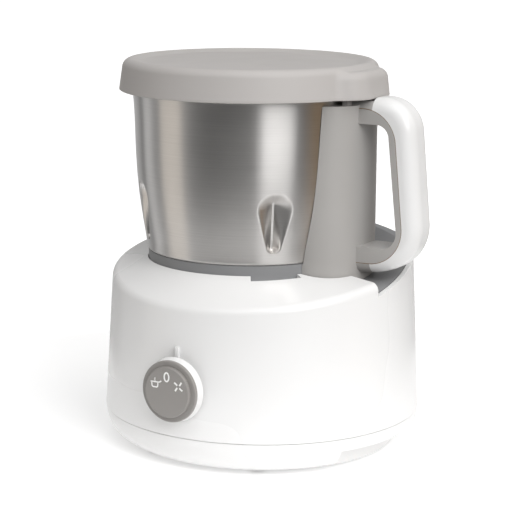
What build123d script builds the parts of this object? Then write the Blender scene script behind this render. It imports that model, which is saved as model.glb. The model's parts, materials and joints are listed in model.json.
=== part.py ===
"""Baby food maker: a steel blending and cooking bowl that stands in a round motor base.

Millimetres, +Z up. The origin is on the floor, on the axis of the round base. The dial faces -Y and the
bowl's handle points to +X. The bowl stands a little to the -X side of the base's axis.
"""

from build123d import *
import math
import os

os.makedirs("parts", exist_ok=True)

# ---------------------------------------------------------------- driving dimensions
# base unit
BASE_R = 100.0  # at the parting line between housing and bottom shell
PARTING_Z = 23.5
PARTING_GAP = 0.4
DRAFT = 0.052  # radius that the wall loses for each millimetre of height
WALL = 2.6
RIM_Z = 117.5  # height of the tilted rim on the base's axis
RIM_SLOPE = 0.16  # rise of the rim for each millimetre towards +Y
RIM_ROUND = 5.0
RIM_R = BASE_R - DRAFT * (RIM_Z - PARTING_Z)
TOP = 200.0  # taller than anything that is cut from above

# the mouth that takes the bowl, and the open side behind the handle
BOWL_X = -10.0
MOUTH_R = 64.5
MOUTH_Z = 116.7
COLLAR_Z = 104.0  # lower end of the housing's collar, where the dock liner takes over
OPEN_FROM, OPEN_TO = -13.5, 150.0  # degrees about the base's axis
OPEN_R = 92.0
NOTCH_Z, NOTCH_SLOPE = 111.9, 0.265  # the notch's floor, a plane that rises towards +Y
LEDGE_Z, LEDGE_R = 113.2, 70.0  # lowered stretch of the mouth beside the handle column
LEDGE_FROM, LEDGE_TO = -59.0, -33.0  # degrees about the bowl's axis
DOCK_FLOOR_Z = 99.0
DOCK_WALL = 2.5
POCKET_FLOOR_Z = 101.0
POCKET_GAP = 1.0
RAMP_Z = 111.5  # where the liner's ramp meets the mouth

# bottom shell, feet and screws from below
STRIP_R, STRIP_Z = 99.8, 22.0
FLAT_R, FLAT_Z = 76.0, 1.5
SPIGOT_R, SPIGOT_LOW_Z, SPIGOT_HIGH_Z = 97.0, 17.0, 27.0  # ring that locates it inside the housing
RECESS_HALF, RECESS_R, RECESS_Z = 31.0, 85.0, 15.3  # hand recess under the handle
FOOT_R, FOOT_HEIGHT, FOOT_PCR = 8.0, 3.0, 67.0
FOOT_ANGLES = (-131, -49, 49, 131)
POST_R, POST_PCR, POST_Z = 4.5, 78.0, 26.0
POST_ANGLES = (-118, -62, 62, 118)
SCREW_R = 1.75
EAR_PCR = 72.0  # about the bowl's axis
EAR_ANGLES = (-140, -75, 175)
VENT_COUNT = 12

# control knob, on an axis along -Y
KNOB_X, KNOB_Z, KNOB_R, KNOB_FACE_Y = -2.2, 53.2, 18.8, -109.5
SKIRT_TAPER = 9  # degrees: the skirt widens towards the wall
KNOB_DISC_R, KNOB_DISC_PROUD = 15.5, 2.4
SKIRT_FRONT_Y, SKIRT_BACK_Y = -105.0, -99.9
PAD_Y = -99.3  # flat pad round the switch's bushing
SPINDLE_R, BUSHING_R = 3.0, 4.9
POINTER_WIDTH, POINTER_LOW, POINTER_HIGH, POINTER_Y = 2.2, 69.6, 78.5, -98.6

# bowl
STEEL = 0.8
BOWL_FOOT_Z, BOWL_RIM_Z = 122.7, 229.0
RING_R, RING_Z = 64.0, 99.3
BOWL_WALL = ((64.6, 122.7), (66.1, 133.2), (68.65, 148.7), (70.86, 169.2), (72.06, 189.5), (73.3, 218.0))
RIB_ANGLES = (-133, -47, 47, 133)  # pressed ribs, degrees about the bowl's axis
RIB_TOP_Z, RIB_TOP_R, RIB_FOOT_Z, RIB_FOOT_R = 157.0, 21.2, 135.5, 15.2  # as drawn at RIB_OUTER_R
RIB_OUTER_R, RIB_INNER_R = 76.0, 62.5
BEAD_R = 1.6
BUSH_R, BUSH_NUT_R, SEAL_H = 8.0, 13.0, 0.8
HEATER_Z, ELEMENT_PCR, ELEMENT_R, PLUG_TOP_Z = 118.5, 40.0, 3.0, 111.0

# handle column in plan, and the handle's side view in the plane y = 0
COLUMN_REACH, COLUMN_HALF, COLUMN_CORNER, COLUMN_LENGTH = 72.6, 32.0, 25.0, 60.0
COLUMN_FOOT_Z, COLUMN_TOP_Z = 101.3, 219.0
COLUMN_WALL = 1.8
COLUMN_CELLS = ((103.7, 112.0), (114.4, 204.0), (206.4, 216.6))  # heights of its hollow, between guide ribs
BOWL_CLEAR = 0.25
HANDLE_HALF = 12.0
SHELL_END_X = 81.0  # where the white grip shell ends on both arms
SEAM = 0.35  # seam between grip shell and liner
STUB_TOP_Z = 221.6
HANDLE_OUTER = ((60, 221), (105.1, 226.8), (114.6, 126.5), (86, 117.3), (60, 114.6))
HANDLE_OUTER_ROUND = [21.5, 28, 30]
HANDLE_SEAM = ((60, 217.4), (95.1, 217.4), (104.5, 123.2), (60, 122.7))
HANDLE_SEAM_ROUND = [22, 22]
HANDLE_GAP = ((60, 208), (91.4, 208), (99.6, 133), (60, 133))
HANDLE_GAP_ROUND = [8, 10]
HANDLE_SCREW_Z = (190, 150)

# lid
LID_Z, LID_TOP_Z, DISH_Z = 222.8, 242.2, 240.4
LID_WALL = 2.4
LUG_REACH, LUG_HALF, LUG_CORNER, LUG_TOP_Z, LUG_LENGTH = 80.0, 29.0, 19.6, 239.4, 60.0
LUG_DRAFT, LUG_ROUND = 2.0, 5.0  # the lug is smaller all round at its top, and rounded
LID_R, LID_SHOULDER_R, LID_SHOULDER_Z, RIDGE_R = 82.0, 79.9, 238.4, 74.5
GASKET_R, GASKET_Z, GASKET_H = 75.5, 229.3, 4.0

# drive line, on the bowl's axis
SHAFT_R, BLADE_SHAFT_R, RUN_FIT = 3.0, 4.0, 0.05
CAN_R, CAN_Z, CAN_TOP_Z = 32.0, 34.0, 89.0
BEARING_R, BEARING_H = 11.0, 6.0
ARMATURE_R, ARMATURE_Z, ARMATURE_H = 18.0, 51.0, 25.0
MAGNET_R, MAGNET_Z, MAGNET_H = 30.2, 50.0, 28.0
FAN_R, FAN_HUB_R, FAN_Z, FAN_H = 25.0, 6.0, 12.0, 11.0
MOUNT_PCR, MOUNT_LOW_Z = 48.0, 86.5
SEAL_R = 9.0
STAR_R, STAR_LOBES, STAR_FIT = 11.0, 6, 0.45
BLADE_R, BLADE_H, BLADE_LEVELS = 46.0, 1.4, (131.0, 143.0)
HUB_R, HUB_Z, HUB_TOP_Z = 10.0, 127.6, 151.0
COUPLING_TOP_Z = 112.0

# safety interlock: lid tab, push rod in the column, plunger in the base
ROD_X, ROD_Y, ROD_R, ROD_GAP = 66.3, -15.8, 1.4, 0.3
ROD_LOW_Z, ROD_HIGH_Z = 104.0, 214.0
ROD_COLLAR_R, ROD_COLLAR_Z = 2.1, 126.0
TAB_X, TAB_Y, TAB_GAP = 3.4, 6.0, 0.4
PLUNGER_R, PLUNGER_TOP_Z, PLUNGER_LOW_Z = 2.2, 103.7, 87.6
GUIDE_R, GUIDE_Z, PLUNGER_COLLAR_Z = 5.0, 86.0, 94.0

# electrics
PLUG_Y, PIN_R, PIN_X = 48.0, 1.5, (-9, 0, 9)
SOCKET_X, SOCKET_Y = 30.0, 18.0
SWITCH_BACK_Y, BUSHING_FRONT_Y = -79.0, -101.8
GLAND_BORE_R, GLAND_R, GLAND_HEAD_R = 3.2, 5.0, 7.5
GLAND_Y, GLAND_Z, GLAND_HEAD_H, GLAND_LENGTH = 88.0, 35.0, 8.0, 15.0

rim_plane = Plane(origin=(0, 0, RIM_Z), x_dir=(1, 0, 0), z_dir=(0, -RIM_SLOPE, 1))
notch_plane = Plane(origin=(0, 0, NOTCH_Z), x_dir=(1, 0, 0), z_dir=(0, -NOTCH_SLOPE, 1))
rim_stretch = math.hypot(1, RIM_SLOPE)
notch_stretch = math.hypot(1, NOTCH_SLOPE)
bowl_axis = Axis((BOWL_X, 0, 0), (0, 0, 1))
bowl_section = Plane(origin=(BOWL_X, 0, 0), x_dir=(1, 0, 0), z_dir=(0, -1, 0))  # x is radius, y is height


# ---------------------------------------------------------------- shared outlines and forms
def level(z):
    """A horizontal sketch plane whose origin is on the base's axis."""
    return Plane.XY.offset(z)


def bowl_level(z):
    """A horizontal sketch plane whose origin is on the bowl's axis."""
    return Plane(origin=(BOWL_X, 0, z))


def knob_level(y):
    """A sketch plane across the knob's axis, facing -Y."""
    return Plane(origin=(KNOB_X, y, KNOB_Z), x_dir=(1, 0, 0), z_dir=(0, -1, 0))


def rear_level(y):
    """A sketch plane across the cord inlet's axis, facing +Y."""
    return Plane(origin=(0, y, GLAND_Z), x_dir=(1, 0, 0), z_dir=(0, 1, 0))


def polar(radius, degrees):
    return (radius * math.cos(math.radians(degrees)), radius * math.sin(math.radians(degrees)))


def around_bowl(radius, degrees):
    x, y = polar(radius, degrees)
    return (BOWL_X + x, y)


def wedge(start, stop, mode=Mode.INTERSECT, reach=300.0):
    """A sector about the sketch's origin, as a fan of straight-sided slices."""
    steps = math.ceil((stop - start) / 40)
    rim = [polar(reach, start + (stop - start) * i / steps) for i in range(steps + 1)]
    Polygon((0, 0), *rim, align=None, mode=mode)


def pod(reach, half, corner, length, grow=0.0, mode=Mode.ADD):
    """A rounded rectangle that ends at x = reach, grown on all sides."""
    with Locations((reach - length / 2, 0)):
        RectangleRounded(length + 2 * grow, 2 * (half + grow), corner + grow, mode=mode)


def column_outline(grow=0.0, mode=Mode.ADD):
    pod(COLUMN_REACH, COLUMN_HALF, COLUMN_CORNER, COLUMN_LENGTH, grow, mode)


def finish(piece, name):
    """Labels a finished piece and writes its STEP file."""
    piece.part.label = name
    export_step(piece.part, f"parts/{name}.step")


def tube(name, inner, outer, low, high, centre=(BOWL_X, 0)):
    """A plain ring, bush, washer or, with inner = 0, a disc, written as a piece of its own."""
    with BuildPart() as piece:
        with BuildSketch(Plane(origin=(*centre, low))):
            Circle(outer)
            if inner:
                Circle(inner, mode=Mode.SUBTRACT)
        extrude(amount=high - low)
    finish(piece, name)


def screws(name, places, head_z, head_h, head_r, tip_z, shank_r):
    """Vertical screws, heads down, that share one node."""
    with BuildPart() as piece:
        with BuildSketch(level(head_z)):
            with Locations(*places):
                Circle(head_r)
        extrude(amount=head_h)
        with BuildSketch(level(head_z + head_h)):
            with Locations(*places):
                Circle(shank_r)
        extrude(amount=tip_z - head_z - head_h)
    finish(piece, name)


with BuildPart() as housing_form:
    with BuildSketch(level(PARTING_Z)):
        Circle(BASE_R)
    with BuildSketch(rim_plane):
        Ellipse(RIM_R, RIM_R * rim_stretch)
    with BuildSketch(bowl_level(MOUTH_Z)):
        Circle(MOUTH_R)
    loft(ruled=True)
    rim_edges = housing_form.edges().filter_by(
        lambda edge: all(abs(rim_plane.to_local_coords(edge @ t).Z) < 0.5 for t in (0, 0.4, 0.8))
    )
    fillet(rim_edges, RIM_ROUND)

with BuildPart() as housing_hollow:
    with BuildSketch(level(PARTING_Z - 1)):
        Circle(BASE_R - WALL)
    with BuildSketch(rim_plane.offset(-WALL)):
        Ellipse(RIM_R - WALL, (RIM_R - WALL) * rim_stretch)
    with BuildSketch(bowl_level(MOUTH_Z - WALL)):
        Circle(MOUTH_R)
    loft(ruled=True)

# everything that the bowl and its column take up when they stand in the dock
with BuildPart() as dock_space:
    with BuildSketch(bowl_level(DOCK_FLOOR_Z)):
        Circle(MOUTH_R)
    extrude(amount=TOP)
    with BuildSketch(level(POCKET_FLOOR_Z)):
        column_outline(POCKET_GAP)
    extrude(amount=TOP)

# the wall round that space
with BuildPart() as dock_wall:
    with BuildSketch(bowl_level(DOCK_FLOOR_Z - DOCK_WALL)):
        Circle(MOUTH_R + DOCK_WALL)
    extrude(amount=TOP)
    with BuildSketch(level(POCKET_FLOOR_Z - DOCK_WALL)):
        column_outline(POCKET_GAP + DOCK_WALL)
    extrude(amount=TOP)

with BuildPart() as open_side:
    with BuildSketch(level(COLLAR_Z - 14)):
        Circle(OPEN_R)
        wedge(OPEN_FROM, OPEN_TO)
    extrude(amount=TOP)

with BuildPart() as notch_form:
    with BuildSketch(level(COLLAR_Z - 14)):
        Circle(BASE_R + 10)
        wedge(OPEN_FROM, OPEN_TO)
    extrude(amount=60)
    split(bisect_by=notch_plane, keep=Keep.TOP)

# ---------------------------------------------------------------- base housing
with BuildPart() as closed_collar:
    with BuildSketch(level(COLLAR_Z)):
        Circle(BASE_R)
        wedge(OPEN_TO, 360 + OPEN_FROM)
    extrude(amount=60)
    add(dock_wall.part, mode=Mode.INTERSECT)

with BuildPart() as housing_inside:
    # closing walls at both ends of the open side
    for angle, side in ((OPEN_FROM, -1), (OPEN_TO, 1)):
        with BuildSketch(Plane(origin=(0, 0, COLLAR_Z), x_dir=(*polar(1, angle), 0), z_dir=(0, 0, 1))):
            with Locations((RIM_R / 2, side * WALL / 2)):
                Rectangle(RIM_R, WALL)
        extrude(amount=60)
    # floor of the lowered ledge
    with BuildSketch(bowl_level(LEDGE_Z - DOCK_WALL)):
        Circle(LEDGE_R + DOCK_WALL)
        wedge(LEDGE_FROM - 2, LEDGE_TO + 2)
    extrude(amount=10)
    # posts for the screws from below, and for the dock liner
    with BuildSketch(level(POST_Z)):
        with Locations(*[polar(POST_PCR, a) for a in POST_ANGLES if a < 0]):
            Circle(POST_R)
    extrude(amount=TOP)
    with BuildSketch(level(COLLAR_Z)):
        with Locations(*[around_bowl(EAR_PCR, a) for a in EAR_ANGLES]):
            Circle(POST_R)
    extrude(amount=TOP)
    add(closed_collar.part)
    add(housing_form.part, mode=Mode.INTERSECT)

with BuildPart() as base_housing:
    add(housing_form.part)
    add(housing_hollow.part, mode=Mode.SUBTRACT)
    add(housing_inside.part)
    # flat pad for the rotary switch, and the pointer above the knob
    with BuildSketch(knob_level(WALL - BASE_R)):
        Circle(10)
    extrude(amount=WALL - BASE_R - PAD_Y)
    with BuildSketch(Plane(origin=(KNOB_X, POINTER_Y + 2, 0), x_dir=(1, 0, 0), z_dir=(0, -1, 0))):
        with Locations((0, (POINTER_LOW + POINTER_HIGH) / 2)):
            Rectangle(POINTER_WIDTH, POINTER_HIGH - POINTER_LOW)
    extrude(amount=2)
    # openings
    add(dock_space.part, mode=Mode.SUBTRACT)
    add(open_side.part, mode=Mode.SUBTRACT)
    add(notch_form.part, mode=Mode.SUBTRACT)
    with BuildSketch(bowl_level(LEDGE_Z)):
        Circle(LEDGE_R)
        wedge(LEDGE_FROM, LEDGE_TO)
    extrude(amount=20, mode=Mode.SUBTRACT)
    with BuildSketch(knob_level(-80)):
        Circle(BUSHING_R)
    extrude(amount=30, mode=Mode.SUBTRACT)
    with BuildSketch(rear_level(GLAND_Y - 8)):
        Circle(GLAND_R)
    extrude(amount=30, mode=Mode.SUBTRACT)
    with BuildSketch(level(POST_Z)):
        with Locations(*[polar(POST_PCR, a) for a in POST_ANGLES if a < 0]):
            Circle(SCREW_R)
    extrude(amount=18, mode=Mode.SUBTRACT)
    with BuildSketch(level(COLLAR_Z)):
        with Locations(*[around_bowl(EAR_PCR, a) for a in EAR_ANGLES]):
            Circle(1.4)
    extrude(amount=8, mode=Mode.SUBTRACT)
finish(base_housing, "base_housing")

# ---------------------------------------------------------------- dock liner
with BuildPart() as ramp_form:
    with BuildSketch(level(STRIP_Z)):
        Circle(OPEN_R)
    with BuildSketch(notch_plane):
        Ellipse(OPEN_R, OPEN_R * notch_stretch)
    with BuildSketch(bowl_level(RAMP_Z)):
        Circle(MOUTH_R + DOCK_WALL)
    loft(ruled=True)

with BuildPart() as ramp_shell:
    add(ramp_form.part)
    add(ramp_form.part.moved(Location((0, 0, -DOCK_WALL))), mode=Mode.SUBTRACT)
    add(open_side.part, mode=Mode.INTERSECT)
    split(bisect_by=rim_plane.offset(-0.8), keep=Keep.BOTTOM)

with BuildPart() as dock_liner:
    add(dock_wall.part)
    # ears for its own screws, under the housing's posts
    for angle in EAR_ANGLES:
        floor = Plane(origin=(BOWL_X, 0, POCKET_FLOOR_Z), x_dir=(*polar(1, angle), 0), z_dir=(0, 0, 1))
        with BuildSketch(floor):
            with Locations((EAR_PCR / 2, 0)):
                Rectangle(EAR_PCR, 2 * POST_R)
            with Locations((EAR_PCR, 0)):
                Circle(POST_R)
        extrude(amount=COLLAR_Z - POCKET_FLOOR_Z)
    # posts for the housing screws, on the open side
    with BuildSketch(level(POST_Z)):
        with Locations(*[polar(POST_PCR, a) for a in POST_ANGLES if a > 0]):
            Circle(POST_R)
    extrude(amount=TOP)
    add(ramp_form.part, mode=Mode.INTERSECT)
    with BuildSketch(level(COLLAR_Z)):
        Circle(BASE_R + 10)
        wedge(OPEN_TO, 360 + OPEN_FROM)
    extrude(amount=60, mode=Mode.SUBTRACT)
    add(ramp_shell.part)
    # hangers for the motor, and the guide for the interlock plunger
    with BuildSketch(bowl_level(MOUNT_LOW_Z)):
        with PolarLocations(MOUNT_PCR, 4, start_angle=45):
            Circle(3)
    extrude(amount=DOCK_FLOOR_Z - MOUNT_LOW_Z - 1)
    with BuildSketch(level(GUIDE_Z)):
        with Locations((ROD_X, ROD_Y)):
            Circle(GUIDE_R)
    extrude(amount=POCKET_FLOOR_Z - GUIDE_Z - 1)
    add(dock_space.part, mode=Mode.SUBTRACT)
    with BuildSketch(bowl_level(0)):
        Circle(SEAL_R)
        with Locations((0, PLUG_Y)):
            Rectangle(SOCKET_X, SOCKET_Y)
    extrude(amount=TOP, mode=Mode.SUBTRACT)
    with BuildSketch(level(GUIDE_Z)):
        with Locations((ROD_X, ROD_Y)):
            Circle(GUIDE_R - 1)
    extrude(amount=POCKET_FLOOR_Z - GUIDE_Z - 1.5, mode=Mode.SUBTRACT)
    with BuildSketch(level(GUIDE_Z)):
        with Locations((ROD_X, ROD_Y)):
            Circle(PLUNGER_R + ROD_GAP)
    extrude(amount=POCKET_FLOOR_Z - GUIDE_Z, mode=Mode.SUBTRACT)
    with BuildSketch(bowl_level(MOUNT_LOW_Z)):
        with PolarLocations(MOUNT_PCR, 4, start_angle=45):
            Circle(1.2)
    extrude(amount=7, mode=Mode.SUBTRACT)
    with BuildSketch(level(POST_Z)):
        with Locations(*[polar(POST_PCR, a) for a in POST_ANGLES if a > 0]):
            Circle(SCREW_R)
    extrude(amount=18, mode=Mode.SUBTRACT)
    with BuildSketch(level(POCKET_FLOOR_Z)):
        with Locations(*[around_bowl(EAR_PCR, a) for a in EAR_ANGLES]):
            Circle(1.7)
    extrude(amount=3, mode=Mode.SUBTRACT)
finish(dock_liner, "dock_liner")

# ---------------------------------------------------------------- bottom shell
def bottom_form(shrink):
    """The bottom shell's outer form, moved in by shrink below its open top."""
    rim_r, rim_z, floor_z = STRIP_R - shrink, PARTING_Z - PARTING_GAP, FLAT_Z + shrink
    with BuildPart() as form:
        with BuildSketch(Plane.XZ):
            with BuildLine():
                Line((0, floor_z), (FLAT_R, floor_z))
                EllipticalCenterArc(
                    (FLAT_R, STRIP_Z), rim_r - FLAT_R, STRIP_Z - floor_z, start_angle=270, arc_size=90
                )
                Line((rim_r, STRIP_Z), (rim_r, rim_z))
                Line((rim_r, rim_z), (0, rim_z))
                Line((0, rim_z), (0, floor_z))
            make_face()
        revolve(axis=Axis.Z)
    return form


def recess_form(grow):
    """The space that the hand recess takes out of the bottom shell."""
    with BuildPart() as space:
        with BuildSketch(level(-1)):
            Circle(BASE_R + 10)
            Circle(RECESS_R - grow, mode=Mode.SUBTRACT)
            wedge(-RECESS_HALF - grow / 1.5, RECESS_HALF + grow / 1.5)
        extrude(amount=RECESS_Z + 1 + grow)
    return space


with BuildPart() as bottom_inside:
    add(bottom_form(WALL).part)
    add(recess_form(WALL).part, mode=Mode.SUBTRACT)

with BuildPart() as bottom_shell:
    add(bottom_form(0).part)
    add(recess_form(0).part, mode=Mode.SUBTRACT)
    add(bottom_inside.part, mode=Mode.SUBTRACT)
    # spigot that locates it inside the housing
    with BuildSketch(level(SPIGOT_LOW_Z)):
        Circle(SPIGOT_R)
        Circle(SPIGOT_R - WALL, mode=Mode.SUBTRACT)
    extrude(amount=SPIGOT_HIGH_Z - SPIGOT_LOW_Z)
    # sleeves round the screws
    with BuildSketch(level(FLAT_Z + 1)):
        with Locations(*[polar(POST_PCR, a) for a in POST_ANGLES]):
            Circle(POST_R + 2)
    extrude(amount=POST_Z - FLAT_Z - 1.2)
    with BuildSketch(level(0)):
        with Locations(*[polar(POST_PCR, a) for a in POST_ANGLES]):
            Circle(4)
    extrude(amount=12, mode=Mode.SUBTRACT)
    with BuildSketch(level(0)):
        with Locations(*[polar(POST_PCR, a) for a in POST_ANGLES]):
            Circle(SCREW_R + 0.3)
    extrude(amount=40, mode=Mode.SUBTRACT)
    # seats for the feet, and air slots under the fan
    with BuildSketch(level(0)):
        with Locations(*[polar(FOOT_PCR, a) for a in FOOT_ANGLES]):
            Circle(FOOT_R)
    extrude(amount=FOOT_HEIGHT, mode=Mode.SUBTRACT)
    with BuildSketch(bowl_level(0)):
        with PolarLocations(20, VENT_COUNT):
            SlotOverall(14, 3)
    extrude(amount=10, mode=Mode.SUBTRACT)
finish(bottom_shell, "bottom_shell")

with BuildPart() as rubber_feet:
    with BuildSketch(level(0)):
        with Locations(*[polar(FOOT_PCR, a) for a in FOOT_ANGLES]):
            Circle(FOOT_R)
    extrude(amount=FOOT_HEIGHT)
    chamfer(rubber_feet.edges().group_by(Axis.Z)[0], 0.6)
finish(rubber_feet, "rubber_feet")

screws("housing_screws", [polar(POST_PCR, a) for a in POST_ANGLES], 9.4, 2.6, 3.6, 42, SCREW_R)
screws("dock_screws", [around_bowl(EAR_PCR, a) for a in EAR_ANGLES], POCKET_FLOOR_Z - 2, 2, 2.8, 111, 1.4)

with BuildPart() as cord_gland:
    with BuildSketch(rear_level(GLAND_Y)):
        Circle(GLAND_HEAD_R)
    extrude(amount=GLAND_HEAD_H)
    with BuildSketch(rear_level(GLAND_Y)):
        Circle(GLAND_R)
    extrude(amount=GLAND_LENGTH)
    with BuildSketch(rear_level(GLAND_Y)):
        Circle(GLAND_BORE_R)
    extrude(amount=GLAND_LENGTH, mode=Mode.SUBTRACT)
finish(cord_gland, "cord_gland")

# ---------------------------------------------------------------- motor
with BuildPart() as motor_can:
    with BuildSketch(bowl_level(CAN_Z)):
        Circle(CAN_R)
    extrude(amount=CAN_TOP_Z - CAN_Z)
    with BuildSketch(bowl_level(CAN_Z)):
        Circle(MAGNET_R)
    extrude(amount=CAN_TOP_Z - CAN_Z - WALL, mode=Mode.SUBTRACT)
    with BuildSketch(bowl_level(CAN_TOP_Z - BEARING_H - 2)):
        Circle(BEARING_R + 2.5)
    extrude(amount=BEARING_H + 2)
    with BuildSketch(bowl_level(CAN_TOP_Z - BEARING_H)):
        Circle(BEARING_R)
    extrude(amount=BEARING_H, mode=Mode.SUBTRACT)
    with BuildSketch(bowl_level(CAN_Z)):
        Circle(SHAFT_R + 2)
    extrude(amount=60, mode=Mode.SUBTRACT)
    # cooling slots round the lower end
    with BuildSketch(bowl_level(CAN_Z + 6)):
        with PolarLocations(CAN_R, 8, start_angle=22.5):
            Rectangle(12, 6)
    extrude(amount=8, mode=Mode.SUBTRACT)
finish(motor_can, "motor_can")

with BuildPart() as motor_end_cap:
    with BuildSketch(bowl_level(CAN_Z - 4)):
        Circle(CAN_R)
    extrude(amount=4)
    with BuildSketch(bowl_level(CAN_Z)):
        Circle(MAGNET_R)
        Circle(MAGNET_R - 2.5, mode=Mode.SUBTRACT)
    extrude(amount=4)
    with BuildSketch(bowl_level(CAN_Z - BEARING_H - 2)):
        Circle(BEARING_R + 2.5)
    extrude(amount=BEARING_H + 2)
    with BuildSketch(bowl_level(CAN_Z - BEARING_H)):
        Circle(BEARING_R)
    extrude(amount=BEARING_H, mode=Mode.SUBTRACT)
    with BuildSketch(bowl_level(CAN_Z - BEARING_H - 2)):
        Circle(SHAFT_R + 2)
    extrude(amount=10, mode=Mode.SUBTRACT)
finish(motor_end_cap, "motor_end_cap")

tube("upper_bearing", SHAFT_R + RUN_FIT, BEARING_R, CAN_TOP_Z - BEARING_H, CAN_TOP_Z)
tube("lower_bearing", SHAFT_R + RUN_FIT, BEARING_R, CAN_Z - BEARING_H, CAN_Z)

with BuildPart() as motor_magnets:
    with BuildSketch(bowl_level(MAGNET_Z)):
        Circle(MAGNET_R)
        wedge(-65, 65)
        Circle(ARMATURE_R + 1, mode=Mode.SUBTRACT)
    extrude(amount=MAGNET_H)
    with BuildSketch(bowl_level(MAGNET_Z)):
        Circle(MAGNET_R)
        wedge(115, 245)
        Circle(ARMATURE_R + 1, mode=Mode.SUBTRACT)
    extrude(amount=MAGNET_H)
finish(motor_magnets, "motor_magnets")

with BuildPart() as brush_holders:
    with BuildSketch(bowl_level(CAN_Z)):
        with Locations((-21, 0), (21, 0)):
            Rectangle(10, 8)
    extrude(amount=4)
    with BuildSketch(bowl_level(CAN_Z + 4)):
        with Locations((-17.2, 0), (17.2, 0)):
            Rectangle(17.6, 8)
    extrude(amount=7)
finish(brush_holders, "brush_holders")

with BuildPart() as motor_mount:
    with BuildSketch(bowl_level(CAN_TOP_Z)):
        Circle(38)
        with PolarLocations(MOUNT_PCR, 4, start_angle=45):
            Circle(9)
        for turn in (45, 135):
            with Locations(Rotation(0, 0, turn)):
                Rectangle(2 * MOUNT_PCR, 18)
        Circle(BEARING_R + 1.5, mode=Mode.SUBTRACT)
        with PolarLocations(MOUNT_PCR, 4, start_angle=45):
            Circle(5, mode=Mode.SUBTRACT)
        with PolarLocations(22, 4):
            Circle(1.5, mode=Mode.SUBTRACT)
    extrude(amount=3)
finish(motor_mount, "motor_mount")

with BuildPart() as motor_grommets:
    grommet_layers = ((MOUNT_LOW_Z, 2.5, 7.5), (CAN_TOP_Z, 3, 5), (CAN_TOP_Z + 3, 2.5, 7.5))
    for low, height, radius in grommet_layers:
        with BuildSketch(bowl_level(low)):
            with PolarLocations(MOUNT_PCR, 4, start_angle=45):
                Circle(radius)
                Circle(3, mode=Mode.SUBTRACT)
        extrude(amount=height)
finish(motor_grommets, "motor_grommets")

mount_places = [around_bowl(MOUNT_PCR, a) for a in (45, 135, 225, 315)]
screws("mount_screws", mount_places, MOUNT_LOW_Z - 2, 2, 5.5, MOUNT_LOW_Z + 7, 1.2)

with BuildPart() as motor_screws:
    with BuildSketch(bowl_level(CAN_TOP_Z + 3)):
        with PolarLocations(22, 4):
            Circle(3)
    extrude(amount=2)
    with BuildSketch(bowl_level(CAN_TOP_Z + 3)):
        with PolarLocations(22, 4):
            Circle(1.5)
    extrude(amount=-3)
finish(motor_screws, "motor_screws")

tube("motor_shaft", 0, SHAFT_R, 10, 108)
tube("commutator", SHAFT_R, 8, 37, 47)

with BuildPart() as armature:
    with BuildSketch(bowl_level(ARMATURE_Z)):
        Circle(ARMATURE_R)
        Circle(SHAFT_R, mode=Mode.SUBTRACT)
        with PolarLocations(ARMATURE_R - 3, 10):
            Rectangle(7, 2.6, mode=Mode.SUBTRACT)
    extrude(amount=ARMATURE_H)
    for low in (ARMATURE_Z - 4, ARMATURE_Z + ARMATURE_H):
        with BuildSketch(bowl_level(low)):
            Circle(ARMATURE_R - 4)
            Circle(SHAFT_R, mode=Mode.SUBTRACT)
        extrude(amount=4)
finish(armature, "armature")

with BuildPart() as cooling_fan:
    with BuildSketch(bowl_level(FAN_Z)):
        Circle(FAN_HUB_R)
    extrude(amount=FAN_H)
    with BuildSketch(bowl_level(FAN_Z)):
        Circle(FAN_R)
    extrude(amount=1.5)
    with BuildSketch(bowl_level(12)):
        with PolarLocations(15, 9):
            Rectangle(19, 1.6)
    extrude(amount=9)
    with BuildSketch(bowl_level(12)):
        Circle(SHAFT_R)
    extrude(amount=20, mode=Mode.SUBTRACT)
finish(cooling_fan, "cooling_fan")


def star(grow, mode=Mode.ADD):
    """The drive coupling's lobed outline."""
    Circle(STAR_R - 3 + grow, mode=mode)
    with PolarLocations(STAR_R - 3, STAR_LOBES):
        Circle(3 + grow, mode=mode)


with BuildPart() as drive_coupling:
    with BuildSketch(bowl_level(DOCK_FLOOR_Z + 2)):
        star(0)
    extrude(amount=8)
    with BuildSketch(bowl_level(DOCK_FLOOR_Z + 2)):
        Circle(SHAFT_R)
    extrude(amount=7, mode=Mode.SUBTRACT)
finish(drive_coupling, "drive_coupling")

tube("shaft_seal", SHAFT_R + 0.3, SEAL_R, DOCK_FLOOR_Z - DOCK_WALL, DOCK_FLOOR_Z + 1)

# ---------------------------------------------------------------- electrics in the base
with BuildPart() as rotary_switch:
    with BuildSketch(knob_level(SWITCH_BACK_Y)):
        RectangleRounded(24, 24, 2)
    extrude(amount=13)
    with BuildSketch(knob_level(SWITCH_BACK_Y)):
        Circle(BUSHING_R)
    extrude(amount=SWITCH_BACK_Y - BUSHING_FRONT_Y)
    with BuildSketch(knob_level(SWITCH_BACK_Y - 4)):
        Circle(SPINDLE_R + RUN_FIT)
    extrude(amount=30, mode=Mode.SUBTRACT)
finish(rotary_switch, "rotary_switch")

with BuildPart() as switch_nut:
    with BuildSketch(knob_level(PAD_Y)):
        RegularPolygon(8, 6)
        Circle(BUSHING_R, mode=Mode.SUBTRACT)
    extrude(amount=2.2)
finish(switch_nut, "switch_nut")

with BuildPart() as control_board:
    with BuildSketch(knob_level(SWITCH_BACK_Y + 1.6)):
        RectangleRounded(62, 44, 2)
    extrude(amount=1.6)
    # relay, capacitor and connectors on its inner face
    with BuildSketch(knob_level(SWITCH_BACK_Y + 1.6)):
        with Locations((-20, 8)):
            Rectangle(16, 20)
        with Locations((16, 12)):
            Rectangle(20, 10)
    extrude(amount=-12)
    with BuildSketch(knob_level(SWITCH_BACK_Y + 1.6)):
        with Locations((4, -10), (18, -10)):
            Circle(5)
    extrude(amount=-14)
finish(control_board, "control_board")

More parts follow.
